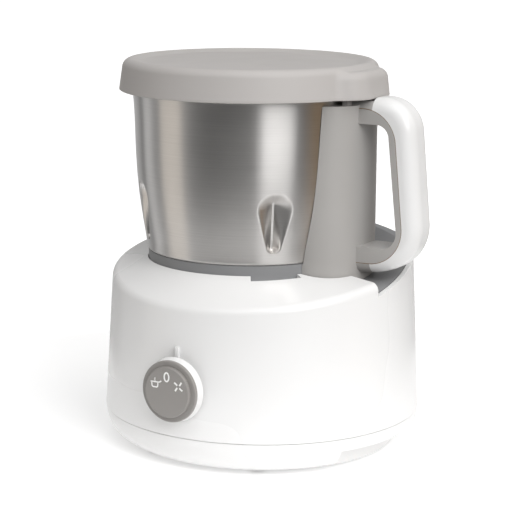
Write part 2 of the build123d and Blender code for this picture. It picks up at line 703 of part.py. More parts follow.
with BuildPart() as heater_socket:
    with BuildSketch(bowl_level(DOCK_FLOOR_Z - 14)):
        with Locations((0, PLUG_Y)):
            Rectangle(SOCKET_X, SOCKET_Y)
    extrude(amount=14)
    with BuildSketch(bowl_level(DOCK_FLOOR_Z - 11)):
        with Locations(*[(x, PLUG_Y) for x in PIN_X]):
            Circle(PIN_R + 0.4)
    extrude(amount=20, mode=Mode.SUBTRACT)
finish(heater_socket, "heater_socket")

with BuildPart() as interlock_switch:
    with BuildSketch(level(PLUNGER_LOW_Z - 20)):
        with Locations((ROD_X + 1, ROD_Y)):
            Rectangle(22, 10)
    extrude(amount=15)
    with BuildSketch(level(PLUNGER_LOW_Z - 5)):
        with Locations((ROD_X, ROD_Y)):
            Circle(1.5)
    extrude(amount=1.6)
finish(interlock_switch, "interlock_switch")

tube("plunger_cap", PLUNGER_R + ROD_GAP, GUIDE_R, GUIDE_Z - 1.5, GUIDE_Z, (ROD_X, ROD_Y))
tube("plunger_spring", PLUNGER_R + 0.3, GUIDE_R - 1.4, GUIDE_Z, PLUNGER_COLLAR_Z, (ROD_X, ROD_Y))

with BuildPart() as base_plunger:
    with BuildSketch(level(PLUNGER_LOW_Z)):
        with Locations((ROD_X, ROD_Y)):
            Circle(PLUNGER_R)
    extrude(amount=PLUNGER_TOP_Z - PLUNGER_LOW_Z)
    with BuildSketch(level(PLUNGER_COLLAR_Z)):
        with Locations((ROD_X, ROD_Y)):
            Circle(GUIDE_R - 1.4)
    extrude(amount=1.5)
finish(base_plunger, "base_plunger")

# ---------------------------------------------------------------- control knob
with BuildPart() as knob_cap:
    with BuildSketch(knob_level(SKIRT_FRONT_Y)):
        Circle(KNOB_R)
    extrude(amount=SKIRT_FRONT_Y - KNOB_FACE_Y - KNOB_DISC_PROUD)
    rim_circle = knob_cap.edges().filter_by(GeomType.CIRCLE).sort_by(Axis.Y)[0]
    fillet(rim_circle, 0.8)
    with BuildSketch(knob_level(SKIRT_FRONT_Y)):
        Circle(KNOB_DISC_R)
    extrude(amount=SKIRT_FRONT_Y - KNOB_FACE_Y)
    disc_circle = knob_cap.edges().filter_by(GeomType.CIRCLE).sort_by(Axis.Y)[0]
    fillet(disc_circle, 0.9)
    with BuildSketch(knob_level(SKIRT_FRONT_Y)):
        Circle(6)
    extrude(amount=-2.8)
    with BuildSketch(knob_level(SKIRT_FRONT_Y + 2.8)):
        Circle(SPINDLE_R)
    extrude(amount=4.8, mode=Mode.SUBTRACT)
finish(knob_cap, "knob_cap")

with BuildPart() as knob_skirt:
    skirt_depth = SKIRT_BACK_Y - SKIRT_FRONT_Y
    with BuildSketch(knob_level(SKIRT_BACK_Y)):
        Circle(KNOB_R + skirt_depth * math.tan(math.radians(SKIRT_TAPER)))
    extrude(amount=skirt_depth, taper=SKIRT_TAPER)
    with BuildSketch(knob_level(SKIRT_BACK_Y)):
        Circle(KNOB_R - 2.2)
    extrude(amount=skirt_depth, mode=Mode.SUBTRACT)
finish(knob_skirt, "knob_skirt")

with BuildPart() as knob_spindle:
    with BuildSketch(knob_level(SWITCH_BACK_Y - 5)):
        Circle(SPINDLE_R)
    extrude(amount=SWITCH_BACK_Y - 5 - SKIRT_FRONT_Y + 2)
finish(knob_spindle, "knob_spindle")

# ---------------------------------------------------------------- bowl
def bowl_form(grow, low, high):
    """The bowl and its base ring as one solid of revolution, its radius grown, between two heights."""
    top_r, top_z = BOWL_WALL[-1]
    with BuildPart() as form:
        with BuildSketch(bowl_section):
            with BuildLine():
                Line((0, RING_Z - 1), (RING_R + grow, RING_Z - 1))
                Line((RING_R + grow, RING_Z - 1), (RING_R + grow, BOWL_FOOT_Z))
                Line((RING_R + grow, BOWL_FOOT_Z), (BOWL_WALL[0][0] + grow, BOWL_FOOT_Z))
                Spline(*[(r + grow, z) for r, z in BOWL_WALL])
                Line((top_r + grow, top_z), (top_r + grow, BOWL_RIM_Z + 1))
                Line((top_r + grow, BOWL_RIM_Z + 1), (0, BOWL_RIM_Z + 1))
                Line((0, BOWL_RIM_Z + 1), (0, RING_Z - 1))
            make_face()
        revolve(axis=bowl_axis)
        split(bisect_by=level(low), keep=Keep.TOP)
        split(bisect_by=level(high), keep=Keep.BOTTOM)
    return form


def rib_form(grow):
    """The four pressed ribs: tapered drops that narrow inwards to an upright slot."""
    with BuildPart() as form:
        for angle in RIB_ANGLES:
            face = Plane(
                origin=(BOWL_X, 0, 0), x_dir=(*polar(1, angle + 90), 0), z_dir=(*polar(1, angle), 0)
            )
            with BuildSketch(face.offset(RIB_OUTER_R)):
                with Locations((0, RIB_TOP_Z)):
                    Circle(RIB_TOP_R + grow)
                with Locations((0, RIB_FOOT_Z)):
                    Circle(RIB_FOOT_R + grow)
                make_hull()
            with BuildSketch(face.offset(RIB_INNER_R - grow)):
                with Locations((0, RIB_TOP_Z)):
                    Circle(1.5 + grow)
                with Locations((0, RIB_FOOT_Z)):
                    Circle(1 + grow)
                make_hull()
            loft(ruled=True)
    return form


with BuildPart() as bowl_inside:
    add(bowl_form(-STEEL, BOWL_FOOT_Z + STEEL, BOWL_RIM_Z + 1).part)
    add(rib_form(STEEL).part, mode=Mode.SUBTRACT)

with BuildPart() as bowl_shell:
    add(bowl_form(0, BOWL_FOOT_Z, BOWL_RIM_Z - 1).part)
    add(rib_form(0).part, mode=Mode.SUBTRACT)
    # rolled rim
    with BuildSketch(bowl_section):
        with Locations((BOWL_WALL[-1][0], BOWL_RIM_Z - BEAD_R)):
            Circle(BEAD_R)
    revolve(axis=bowl_axis)
    add(bowl_inside.part, mode=Mode.SUBTRACT)
    with BuildSketch(bowl_level(BOWL_FOOT_Z)):
        Circle(BUSH_R)
    extrude(amount=5, mode=Mode.SUBTRACT)
finish(bowl_shell, "bowl_shell")

tube("bowl_base_ring", RING_R - DOCK_WALL, RING_R, RING_Z, BOWL_FOOT_Z)

with BuildPart() as bowl_base_cover:
    with BuildSketch(bowl_level(RING_Z)):
        Circle(RING_R - DOCK_WALL)
        Circle(STAR_R + 9, mode=Mode.SUBTRACT)
        with Locations(*[(x, PLUG_Y) for x in PIN_X]):
            Circle(PIN_R + 0.1, mode=Mode.SUBTRACT)
    extrude(amount=2)
finish(bowl_base_cover, "bowl_base_cover")

tube("heater_plate", BUSH_NUT_R + 0.5, 57, HEATER_Z, BOWL_FOOT_Z)

with BuildPart() as heater_element:
    with BuildSketch(bowl_section):
        with Locations((ELEMENT_PCR, HEATER_Z - ELEMENT_R)):
            Circle(ELEMENT_R)
    revolve(axis=bowl_axis)
    with BuildSketch(bowl_level(PLUG_TOP_Z)):
        with Locations(*[(x, ELEMENT_PCR + 1) for x in (PIN_X[0], PIN_X[-1])]):
            Circle(1.2)
    extrude(amount=HEATER_Z - PLUG_TOP_Z - 2)
finish(heater_element, "heater_element")

tube("temperature_sensor", 0, 6, HEATER_Z - 5, HEATER_Z, (BOWL_X - 20, -16))

with BuildPart() as heater_plug:
    with BuildSketch(bowl_level(RING_Z + 2)):
        with Locations((0, PLUG_Y)):
            RectangleRounded(27, 16, 2)
    extrude(amount=PLUG_TOP_Z - RING_Z - 2)
    with BuildSketch(bowl_level(RING_Z + 2)):
        with Locations(*[(x, PLUG_Y) for x in PIN_X]):
            Circle(PIN_R)
    extrude(amount=-11)
finish(heater_plug, "heater_plug")

# ---------------------------------------------------------------- blades
with BuildPart() as blade_bush:
    with BuildSketch(bowl_level(113)):
        Circle(BUSH_R)
    extrude(amount=14)
    with BuildSketch(bowl_level(BOWL_FOOT_Z + STEEL + SEAL_H)):
        Circle(BUSH_R + 4)
    extrude(amount=2.5)
    with BuildSketch(bowl_level(113)):
        Circle(BLADE_SHAFT_R + RUN_FIT)
    extrude(amount=20, mode=Mode.SUBTRACT)
finish(blade_bush, "blade_bush")

tube("blade_seal", BUSH_R, BUSH_R + 4, BOWL_FOOT_Z + STEEL, BOWL_FOOT_Z + STEEL + SEAL_H)

with BuildPart() as bush_nut:
    with BuildSketch(bowl_level(BOWL_FOOT_Z - 6)):
        RegularPolygon(BUSH_NUT_R, 6)
        Circle(BUSH_R, mode=Mode.SUBTRACT)
    extrude(amount=6)
finish(bush_nut, "bush_nut")

tube("blade_shaft", 0, BLADE_SHAFT_R, COUPLING_TOP_Z - 2.5, HUB_TOP_Z - 2)

with BuildPart() as blade_hub:
    with BuildSketch(bowl_level(HUB_Z)):
        Circle(HUB_R)
    extrude(amount=HUB_TOP_Z - HUB_Z)
    fillet(blade_hub.edges().group_by(Axis.Z)[-1], 4)
    with BuildSketch(bowl_level(HUB_Z)):
        Circle(BLADE_SHAFT_R)
    extrude(amount=HUB_TOP_Z - HUB_Z - 2, mode=Mode.SUBTRACT)
    for low in BLADE_LEVELS:
        with BuildSketch(bowl_level(low)):
            Circle(HUB_R + 1)
            Circle(HUB_R - 2, mode=Mode.SUBTRACT)
        extrude(amount=BLADE_H, mode=Mode.SUBTRACT)
finish(blade_hub, "blade_hub")


def blade(name, low, turn):
    """A flat two-winged blade with swept tips, clamped in a groove of the hub."""
    wing = [(0, -8), (24, -9), (40, -6), (BLADE_R, 2), (34, 3), (18, 7), (0, 8)]
    with BuildPart() as piece:
        with BuildSketch(Plane(origin=(BOWL_X, 0, low), x_dir=(*polar(1, turn), 0), z_dir=(0, 0, 1))):
            Circle(HUB_R + 2)
            Polygon(*wing, align=None)
            Polygon(*[(-x, -y) for x, y in wing], align=None)
            Circle(HUB_R - 2, mode=Mode.SUBTRACT)
        extrude(amount=BLADE_H)
    finish(piece, name)


blade("lower_blade", BLADE_LEVELS[0], 20)
blade("upper_blade", BLADE_LEVELS[1], 110)

with BuildPart() as driven_coupling:
    with BuildSketch(bowl_level(DOCK_FLOOR_Z + 4.3)):
        Circle(STAR_R + 5)
    extrude(amount=COUPLING_TOP_Z - DOCK_FLOOR_Z - 4.3)
    with BuildSketch(bowl_level(DOCK_FLOOR_Z + 4.3)):
        star(STAR_FIT)
    extrude(amount=COUPLING_TOP_Z - DOCK_FLOOR_Z - 4.3 - 2.5, mode=Mode.SUBTRACT)
    with BuildSketch(bowl_level(DOCK_FLOOR_Z + 4.3)):
        Circle(BLADE_SHAFT_R)
    extrude(amount=20, mode=Mode.SUBTRACT)
finish(driven_coupling, "driven_coupling")

# ---------------------------------------------------------------- handle, in its side view
with BuildPart() as handle_form:
    with BuildSketch(Plane.XZ):
        with BuildLine():
            outer = FilletPolyline(*HANDLE_OUTER, radius=HANDLE_OUTER_ROUND)
            Line(outer @ 1, outer @ 0)
        make_face()
    extrude(amount=HANDLE_HALF, both=True)
    side_edges = handle_form.edges().filter_by(
        lambda edge: all(abs(abs((edge @ t).Y) - HANDLE_HALF) < 0.01 for t in (0, 1))
    )
    fillet(side_edges.filter_by(lambda edge: (edge @ 0.5).X > HANDLE_OUTER[0][0] + 0.1), 8)
    with BuildSketch(Plane.XZ):
        with BuildLine():
            inner = FilletPolyline(*HANDLE_GAP, radius=HANDLE_GAP_ROUND)
            Line(inner @ 1, inner @ 0)
        make_face()
    extrude(amount=HANDLE_HALF + 1, both=True, mode=Mode.SUBTRACT)

with BuildPart() as seam_form:
    with BuildSketch(Plane.XZ):
        with BuildLine():
            seam = FilletPolyline(*HANDLE_SEAM, radius=HANDLE_SEAM_ROUND)
            Line(seam @ 1, seam @ 0)
        make_face()
    extrude(amount=HANDLE_HALF + 1, both=True)

with BuildPart() as liner_limit:
    with BuildSketch(Plane.XZ):
        with BuildLine():
            seam = FilletPolyline(*HANDLE_SEAM, radius=HANDLE_SEAM_ROUND)
            Line(seam @ 1, seam @ 0)
        make_face()
        offset(amount=-SEAM, kind=Kind.INTERSECTION)
    extrude(amount=HANDLE_HALF + 1, both=True)

with BuildPart() as column_form:
    with BuildSketch(level(COLUMN_FOOT_Z)):
        column_outline()
    extrude(amount=COLUMN_TOP_Z - COLUMN_FOOT_Z)


def gap_face_x(z):
    """Where the finger gap's outer side lies at a height."""
    (top_x, top_z), (low_x, low_z) = HANDLE_GAP[1:3]
    return top_x + (low_x - top_x) * (top_z - z) / (top_z - low_z)


with BuildPart() as handle_screws:
    for z in HANDLE_SCREW_Z:
        with BuildSketch(Plane(origin=(gap_face_x(z) + 0.6, 0, z), z_dir=(1, 0, 0))):
            Circle(2.4)
        extrude(amount=2)
        with BuildSketch(Plane(origin=(gap_face_x(z) + 0.6, 0, z), z_dir=(1, 0, 0))):
            Circle(1.2)
        extrude(amount=9)
finish(handle_screws, "handle_screws")

with BuildPart() as handle_liner:
    add(handle_form.part)
    add(liner_limit.part, mode=Mode.INTERSECT)
    add(column_form.part, mode=Mode.SUBTRACT)
    split(bisect_by=Plane(origin=(COLUMN_REACH - COLUMN_CORNER, 0, 0), z_dir=(1, 0, 0)), keep=Keep.TOP)
    for z in HANDLE_SCREW_Z:
        with BuildSketch(Plane(origin=(gap_face_x(z) - 2, 0, z), z_dir=(1, 0, 0))):
            Circle(2.4)
        extrude(amount=4.6, mode=Mode.SUBTRACT)
    add(handle_screws.part, mode=Mode.SUBTRACT)
finish(handle_liner, "handle_liner")

with BuildPart() as grip_shell:
    add(handle_form.part)
    add(seam_form.part, mode=Mode.SUBTRACT)
    split(bisect_by=Plane(origin=(SHELL_END_X, 0, 0), z_dir=(1, 0, 0)), keep=Keep.TOP)
    add(handle_screws.part, mode=Mode.SUBTRACT)
finish(grip_shell, "grip_shell")

with BuildPart() as arm_stubs:
    add(handle_form.part)
    add(seam_form.part, mode=Mode.SUBTRACT)
    split(bisect_by=Plane(origin=(SHELL_END_X, 0, 0), z_dir=(1, 0, 0)), keep=Keep.BOTTOM)
    split(bisect_by=level(STUB_TOP_Z), keep=Keep.BOTTOM)

with BuildPart() as column_hollow:
    for low, high in COLUMN_CELLS:
        with BuildSketch(level(low)):
            column_outline(-COLUMN_WALL)
        extrude(amount=high - low)
    add(bowl_form(BOWL_CLEAR + COLUMN_WALL, RING_Z, BOWL_RIM_Z).part, mode=Mode.SUBTRACT)

with BuildPart() as column:
    add(column_form.part)
    add(arm_stubs.part)
    add(bowl_form(BOWL_CLEAR, RING_Z, BOWL_RIM_Z).part, mode=Mode.SUBTRACT)
    add(column_hollow.part, mode=Mode.SUBTRACT)
    with BuildSketch(level(COLUMN_FOOT_Z)):
        with Locations((ROD_X, ROD_Y)):
            Circle(ROD_R + ROD_GAP)
    extrude(amount=ROD_HIGH_Z - COLUMN_FOOT_Z, mode=Mode.SUBTRACT)
    with BuildSketch(level(COLUMN_FOOT_Z)):
        with Locations((ROD_X, ROD_Y)):
            Circle(PLUNGER_R + ROD_GAP)
    extrude(amount=4, mode=Mode.SUBTRACT)
    with BuildSketch(level(ROD_HIGH_Z)):
        with Locations((ROD_X, ROD_Y)):
            Rectangle(TAB_X + 2 * TAB_GAP, TAB_Y + 2 * TAB_GAP)
    extrude(amount=10, mode=Mode.SUBTRACT)
finish(column, "column")

# ---------------------------------------------------------------- interlock rod and its spring
with BuildPart() as interlock_rod:
    with BuildSketch(level(ROD_LOW_Z)):
        with Locations((ROD_X, ROD_Y)):
            Circle(ROD_R)
    extrude(amount=ROD_HIGH_Z - ROD_LOW_Z)
    with BuildSketch(level(ROD_COLLAR_Z)):
        with Locations((ROD_X, ROD_Y)):
            Circle(ROD_COLLAR_R)
    extrude(amount=1.5)
finish(interlock_rod, "interlock_rod")

tube("rod_spring", ROD_R + 0.15, ROD_COLLAR_R, COLUMN_CELLS[1][0], ROD_COLLAR_Z, (ROD_X, ROD_Y))

# ---------------------------------------------------------------- lid
def lug_form(shrink, low, high):
    """The lug over the column, drafted inwards towards its top."""
    with BuildPart() as form:
        with BuildSketch(level(low)):
            pod(LUG_REACH, LUG_HALF, LUG_CORNER, LUG_LENGTH, -shrink)
        with BuildSketch(level(high)):
            pod(LUG_REACH, LUG_HALF, LUG_CORNER, LUG_LENGTH, -shrink - LUG_DRAFT)
        loft(ruled=True)
        fillet(form.edges().group_by(Axis.Z)[-1], LUG_ROUND - shrink)
    return form


with BuildPart() as lid_form:
    with BuildSketch(bowl_section):
        with BuildLine():
            Line((0, LID_Z), (LID_R - 0.8, LID_Z))
            Line((LID_R - 0.8, LID_Z), (LID_R, LID_Z + 1.5))
            Spline((LID_R, LID_Z + 1.5), (LID_R - 1.1, 233.5), (LID_SHOULDER_R, LID_SHOULDER_Z))
            shoulder = (LID_R - 3.4, LID_TOP_Z - 1.2)
            ThreePointArc((LID_SHOULDER_R, LID_SHOULDER_Z), shoulder, (RIDGE_R, LID_TOP_Z))
            Line((RIDGE_R, LID_TOP_Z), (RIDGE_R - 8, DISH_Z))
            Line((RIDGE_R - 8, DISH_Z), (0, DISH_Z))
            Line((0, DISH_Z), (0, LID_Z))
        make_face()
    revolve(axis=bowl_axis)
    add(lug_form(0, LID_Z, LUG_TOP_Z).part)

with BuildPart() as lid_inside:
    with BuildSketch(bowl_section):
        with BuildLine():
            Line((0, LID_Z), (LID_R - 0.2 - LID_WALL, LID_Z))
            Line((LID_R - 0.2 - LID_WALL, LID_Z), (LID_SHOULDER_R - LID_WALL, LID_SHOULDER_Z - 2))
            Line((LID_SHOULDER_R - LID_WALL, LID_SHOULDER_Z - 2), (RIDGE_R - 1, DISH_Z - LID_WALL))
            Line((RIDGE_R - 1, DISH_Z - LID_WALL), (0, DISH_Z - LID_WALL))
            Line((0, DISH_Z - LID_WALL), (0, LID_Z))
        make_face()
    revolve(axis=bowl_axis)
    add(lug_form(LID_WALL, LID_Z, LUG_TOP_Z - LID_WALL).part)

with BuildPart() as lid_shell:
    add(lid_form.part)
    add(lid_inside.part, mode=Mode.SUBTRACT)
    # ring that carries the gasket
    with BuildSketch(bowl_level(GASKET_Z + GASKET_H)):
        Circle(GASKET_R)
        Circle(GASKET_R - 5, mode=Mode.SUBTRACT)
    extrude(amount=DISH_Z - LID_WALL - GASKET_Z - GASKET_H + 0.5)
finish(lid_shell, "lid_shell")

tube("lid_gasket", GASKET_R - 5, GASKET_R, GASKET_Z, GASKET_Z + GASKET_H)

with BuildPart() as interlock_tab:
    with BuildSketch(level(ROD_HIGH_Z + ROD_GAP)):
        with Locations((ROD_X, ROD_Y)):
            Rectangle(TAB_X, TAB_Y)
    extrude(amount=LUG_TOP_Z - LID_WALL - ROD_HIGH_Z - ROD_GAP)
finish(interlock_tab, "interlock_tab")
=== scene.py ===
"""Baby food maker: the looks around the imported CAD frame.

+Z is up, the dial looks towards -Y and the handle towards +X. The camera, the studio and the materials are in
metres. The numbers of the new pieces are in millimetres, which add_piece turns into metres.
"""

import json
import math

import bmesh
import bpy
import numpy as np
from mathutils import Matrix, Vector


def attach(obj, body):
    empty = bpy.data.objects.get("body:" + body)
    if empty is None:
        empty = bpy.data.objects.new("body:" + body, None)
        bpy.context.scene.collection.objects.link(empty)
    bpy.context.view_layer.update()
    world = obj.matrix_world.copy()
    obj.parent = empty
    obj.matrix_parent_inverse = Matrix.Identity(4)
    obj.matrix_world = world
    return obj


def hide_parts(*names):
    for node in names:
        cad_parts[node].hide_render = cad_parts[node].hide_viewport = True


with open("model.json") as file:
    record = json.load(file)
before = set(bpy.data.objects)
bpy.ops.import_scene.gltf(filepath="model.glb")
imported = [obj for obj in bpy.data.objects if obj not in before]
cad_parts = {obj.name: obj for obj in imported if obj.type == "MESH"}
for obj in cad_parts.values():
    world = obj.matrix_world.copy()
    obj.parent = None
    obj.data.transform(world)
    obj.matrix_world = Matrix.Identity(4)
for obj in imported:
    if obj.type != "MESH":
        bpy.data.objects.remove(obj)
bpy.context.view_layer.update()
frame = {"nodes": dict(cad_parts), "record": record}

nodes = frame["nodes"]
MM = 0.001

# ---------------------------------------------------------------- camera
CAMERA_PLACE = Vector((0.5559, -0.9698, 0.3430))
CAMERA_AZIMUTH = math.radians(30.0)  # how far round from -Y the camera stands
CAMERA_PITCH = math.radians(11.469)  # looking down
CAMERA_ROLL = math.radians(0.436)
LENS_MM, SENSOR_MM = 125.48, 36.0
CLIP_START, CLIP_END = 0.05, 50


def make_camera():
    """A long lens a little over a metre away, matched to the object's outlines."""
    right = Vector((math.cos(CAMERA_AZIMUTH), math.sin(CAMERA_AZIMUTH), 0))
    level = Vector((-math.sin(CAMERA_AZIMUTH), math.cos(CAMERA_AZIMUTH), 0))
    forward = level * math.cos(CAMERA_PITCH) - Vector((0, 0, math.sin(CAMERA_PITCH)))
    up = right.cross(forward)
    tilted_right = right * math.cos(CAMERA_ROLL) + up * math.sin(CAMERA_ROLL)
    tilted_up = up * math.cos(CAMERA_ROLL) - right * math.sin(CAMERA_ROLL)
    turn = Matrix((tilted_right, tilted_up, -forward)).transposed().to_4x4()
    data = bpy.data.cameras.new("camera")
    data.lens = LENS_MM
    data.sensor_width = SENSOR_MM
    data.clip_start = CLIP_START
    data.clip_end = CLIP_END
    camera = bpy.data.objects.new("camera", data)
    camera.matrix_world = Matrix.Translation(CAMERA_PLACE) @ turn
    bpy.context.collection.objects.link(camera)
    bpy.context.scene.camera = camera


# ---------------------------------------------------------------- studio
# what the steel mirrors near the horizon, by azimuth in degrees: dark flags and bright softboxes
HORIZON = (
    (-180, 0.70), (-174, 0.48), (-171, 0.34), (-162, 0.32), (-158, (0.82, 0.77, 0.71)),
    (-134, (0.78, 0.73, 0.67)), (-130, 0.34), (-120, 0.19), (-108, 0.09), (-97, 0.05), (-80, 0.04),
    (-66, 0.06), (-57, 0.07), (-49, 0.30), (-42, 0.40), (-28, 0.36), (-21, 0.26), (-15, 0.10), (-6, 0.08),
    (10, (0.26, 0.17, 0.09)), (40, 0.26), (80, 0.35), (112, 0.60), (140, 0.50), (154, 0.42), (160, 0.30),
    (164, 0.18), (168, 0.36), (173, 0.70), (180, 0.70),
)
# the sky above them, by azimuth
SKY = (
    (-180, 0.2), (-135, 0.3), (-105, 1.5), (-80, 2.6), (-10, 2.4), (30, 1.3), (70, 0.5), (110, 0.2),
    (180, 0.2),
)
SKY_RISE = (0.45, 0.8)  # sines of the elevations between which the softboxes give way to the sky
WORLD_STRENGTH = 1.0
TABLE_GLOW, SWEEP_GLOW = 0.28, 0.36
TABLE_R, SWEEP_R, FLOOR_STEPS = 0.30, 8.0, 96
FLOOR_ALBEDO, FLOOR_ROUGHNESS, FLOOR_SPECULAR = 0.92, 0.8, 0.1
KEY_PLACE, KEY_AIM = (1.1, -0.7, 0.75), (0, 0, 0.1)
KEY_SIZE, KEY_WATTS = (0.8, 0.8), 11.5


def area_light(name, place, target, size, watts):
    """A white rectangular lamp that the camera doesn't see."""
    data = bpy.data.lights.new(name, "AREA")
    data.shape = "RECTANGLE"
    data.size, data.size_y = size
    data.energy = watts
    light = bpy.data.objects.new(name, data)
    aim = (Vector(target) - Vector(place)).to_track_quat("-Z", "Y").to_matrix().to_4x4()
    light.matrix_world = Matrix.Translation(place) @ aim
    light.visible_camera = False
    bpy.context.collection.objects.link(light)


def ramp(tree, position, stops):
    """A colour ramp; each stop is (position, colour or grey level)."""
    node = tree.nodes.new("ShaderNodeValToRGB")
    while len(node.color_ramp.elements) < len(stops):
        node.color_ramp.elements.new(0.5)
    for element, (place, tone) in zip(node.color_ramp.elements, stops):
        element.position = place
        element.color = (*tone, 1) if isinstance(tone, tuple) else (tone, tone, tone, 1)
    tree.links.new(position, node.inputs["Fac"])
    return node.outputs["Color"]


def arithmetic(tree, operation, first, second=0.0):
    """A Math node; each operand is a number or another node's output."""
    node = tree.nodes.new("ShaderNodeMath")
    node.operation = operation
    for socket, value in zip(node.inputs, (first, second)):
        if isinstance(value, (int, float)):
            socket.default_value = value
        else:
            tree.links.new(value, socket)
    return node.outputs[0]


def remap(tree, value, low, high, to_low, to_high, smooth=False):
    """A Map Range node from low and high to to_low and to_high."""
    node = tree.nodes.new("ShaderNodeMapRange")
    node.interpolation_type = "SMOOTHSTEP" if smooth else "LINEAR"
    tree.links.new(value, node.inputs["Value"])
    for socket, number in zip(("From Min", "From Max", "To Min", "To Max"), (low, high, to_low, to_high)):
        node.inputs[socket].default_value = number
    return node.outputs["Result"]


def make_world():
    """Softboxes and dark flags round the set, below a sky that is bright at the front and right."""
    world = bpy.data.worlds.new("softboxes")
    world.use_nodes = True
    tree = world.node_tree
    place = tree.nodes.new("ShaderNodeTexCoord").outputs["Generated"]
    split = tree.nodes.new("ShaderNodeSeparateXYZ")
    tree.links.new(place, split.inputs[0])
    turn = arithmetic(tree, "ARCTAN2", split.outputs["Y"], split.outputs["X"])
    around = arithmetic(tree, "MULTIPLY_ADD", turn, 1 / math.tau)
    around.node.inputs[2].default_value = 0.5
    band = ramp(tree, around, [(0.5 + azimuth / 360, tone) for azimuth, tone in HORIZON])
    sky = ramp(tree, around, [(0.5 + azimuth / 360, tone) for azimuth, tone in SKY])
    mix = tree.nodes.new("ShaderNodeMix")
    mix.data_type = "RGBA"
    rise = remap(tree, split.outputs["Z"], *SKY_RISE, 0, 1, smooth=True)
    tree.links.new(rise, mix.inputs["Factor"])
    colours = [socket for socket in mix.inputs if socket.type == "RGBA"]
    tree.links.new(band, colours[0])
    tree.links.new(sky, colours[1])
    background = tree.nodes["Background"]
    background.inputs["Strength"].default_value = WORLD_STRENGTH
    out = [socket for socket in mix.outputs if socket.type == "RGBA"][0]
    tree.links.new(out, background.inputs["Color"])
    if hasattr(world, "cycles"):
        world.cycles.sampling_method = "NONE"
    bpy.context.scene.world = world


def add_floor(name, inner, outer, glow):
    """A white ring of floor, faintly lit from inside as a lit sweep is."""
    material = bpy.data.materials.new(name)
    material.use_nodes = True
    shader = material.node_tree.nodes["Principled BSDF"]
    shader.inputs["Base Color"].default_value = (FLOOR_ALBEDO, FLOOR_ALBEDO, FLOOR_ALBEDO, 1)
    shader.inputs["Roughness"].default_value = FLOOR_ROUGHNESS
    shader.inputs["Specular IOR Level"].default_value = FLOOR_SPECULAR
    shader.inputs["Emission Color"].default_value = (1, 1, 1, 1)
    shader.inputs["Emission Strength"].default_value = glow
    mesh = bpy.data.meshes.new(name)
    turns = [math.tau * i / FLOOR_STEPS for i in range(FLOOR_STEPS)]
    points = [(r * math.cos(t), r * math.sin(t), 0) for r in (inner, outer) for t in turns]
    faces = []
    for i in range(FLOOR_STEPS):
        j = (i + 1) % FLOOR_STEPS
        faces.append((i, j, FLOOR_STEPS + j, FLOOR_STEPS + i))
    mesh.from_pydata(points, [], faces)
    mesh.materials.append(material)
    floor = bpy.data.objects.new(name, mesh)
    bpy.context.collection.objects.link(floor)
    return floor


def make_studio():
    """A white sweep, the softboxes round it, and a key light at the right."""
    bpy.context.scene.view_settings.view_transform = "Standard"
    make_world()
    add_floor("table", 0, TABLE_R, TABLE_GLOW)
    sweep = add_floor("sweep", TABLE_R, SWEEP_R, SWEEP_GLOW)
    # beyond the table the object is lit by, and mirrors, the dark set and not the sweep
    sweep.visible_glossy = False
    sweep.visible_diffuse = False
    area_light("key", KEY_PLACE, KEY_AIM, KEY_SIZE, KEY_WATTS)


# ---------------------------------------------------------------- materials
# each slot's colour, roughness, grain (features to the metre), depth (m), mottle, specular, cloud_scale
PLASTICS = {
    "white_plastic": ((0.775, 0.773, 0.77), 0.27, 1400, 0.000002, 0.004, 0.45, 4.0),
    "grey_plastic": ((0.395, 0.382, 0.368), 0.42, 2200, 0.00002, 0.02, 0.4),
    "dark_grey_plastic": ((0.245, 0.247, 0.252), 0.45, 2000, 0.00002, 0.03, 0.4),
    "lid_grey": ((0.46, 0.44, 0.427), 0.5, 1800, 0.00002, 0.015, 0.3),
    "knob_grey": ((0.265, 0.252, 0.24), 0.42, 2200, 0.00002, 0.02, 0.4),
    "foot_rubber": ((0.16, 0.16, 0.165), 0.8, 1200, 0.00005, 0.08, 0.3),
    "seal_rubber": ((0.55, 0.54, 0.52), 0.6, 1500, 0.00003, 0.04, 0.3),
    "black_plastic": ((0.03, 0.03, 0.032), 0.4, 1500, 0.00002, 0.1, 0.5),
    "magnet": ((0.06, 0.06, 0.065), 0.55, 900, 0.00005, 0.15, 0.5),
}
# each slot's colour, roughness, streak (stretch by axis), scale, depth, wear, turned
METALS = {
    "screw_steel": ((0.62, 0.61, 0.60), 0.3, (1, 1, 0.2), 700),
    "can_steel": ((0.55, 0.55, 0.56), 0.35, (1, 1, 8), 160),
    "bearing_steel": ((0.66, 0.66, 0.66), 0.2, (1, 1, 6), 300),
    "spring_steel": ((0.58, 0.58, 0.58), 0.25, (1, 1, 3), 600),
    "blade_steel": ((0.72, 0.72, 0.72), 0.22, (1, 12, 1), 160),
    "bowl_steel": ((0.62, 0.605, 0.59), 0.30, (1, 1, 130), 22.0, 0.0000015, 0.05, 0.9),
    "brass": ((0.78, 0.60, 0.28), 0.28, (1, 1, 6), 300),
    "aluminium": ((0.80, 0.80, 0.80), 0.35, (1, 1, 4), 220),
}
# each slot's first and second colour, pitch (m), roughness, metallic, axis
STRIPES = {
    "lamination": ((0.18, 0.18, 0.19), (0.5, 0.5, 0.5), 0.0005, 0.4, 1.0),
    "copper": ((0.42, 0.16, 0.07), (0.80, 0.40, 0.22), 0.0007, 0.35, 1.0),
    "board": ((0.02, 0.16, 0.07), (0.03, 0.22, 0.10), 0.0025, 0.4, 0.0, (1, 0, 0)),
}
MARK_WHITE = ((0.82, 0.82, 0.81), 0.4, 1500, 0.000005, 0.02)
# a dark brown that paints the shadow in the gap of the grip's seam
SEAM_SHADOW_BROWN = ((0.20, 0.13, 0.07), 0.55, 1500, 0.00001, 0.1, 0.3)
NOISE_LOW, NOISE_HIGH = 0.3, 0.7  # nearly all of a noise lies between these
BLEND_LOW, BLEND_HIGH = 0.35, 0.65  # and nearly all of a sum of two noises between these
GLEAM_TURN = 0.25  # turns the gleam of brushed steel across its streaks


